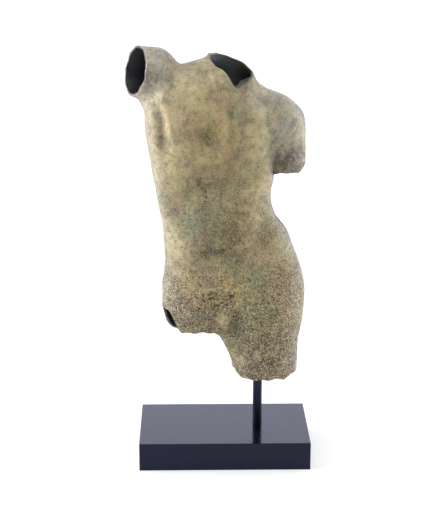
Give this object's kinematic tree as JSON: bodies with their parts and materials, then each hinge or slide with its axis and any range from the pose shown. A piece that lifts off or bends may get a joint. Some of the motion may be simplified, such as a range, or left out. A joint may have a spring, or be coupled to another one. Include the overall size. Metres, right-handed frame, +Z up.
{
  "type": "bronze torso sculpture",
  "caption": "Hollow cast bronze torso of a standing man, broken at the neck, arms and thighs, held by a slim rod on a black stone plinth.",
  "frame": {"origin": "middle of the plinth's underside", "axes": "+Z up, -Y the way the chest faces, +X to the side of the standing leg"},
  "size_m": [0.2572, 0.15, 0.5841],
  "materials": {
    "patinated_bronze": "aged khaki brown patina with grey-green patches and fine pitting",
    "black_steel": "satin black",
    "black_stone": "honed black with a low polish"
  },
  "bodies": {
    "root": {"torso_casting": "patinated_bronze", "support_rod": "black_steel", "plinth": "black_stone"}
  },
  "joints": []
}
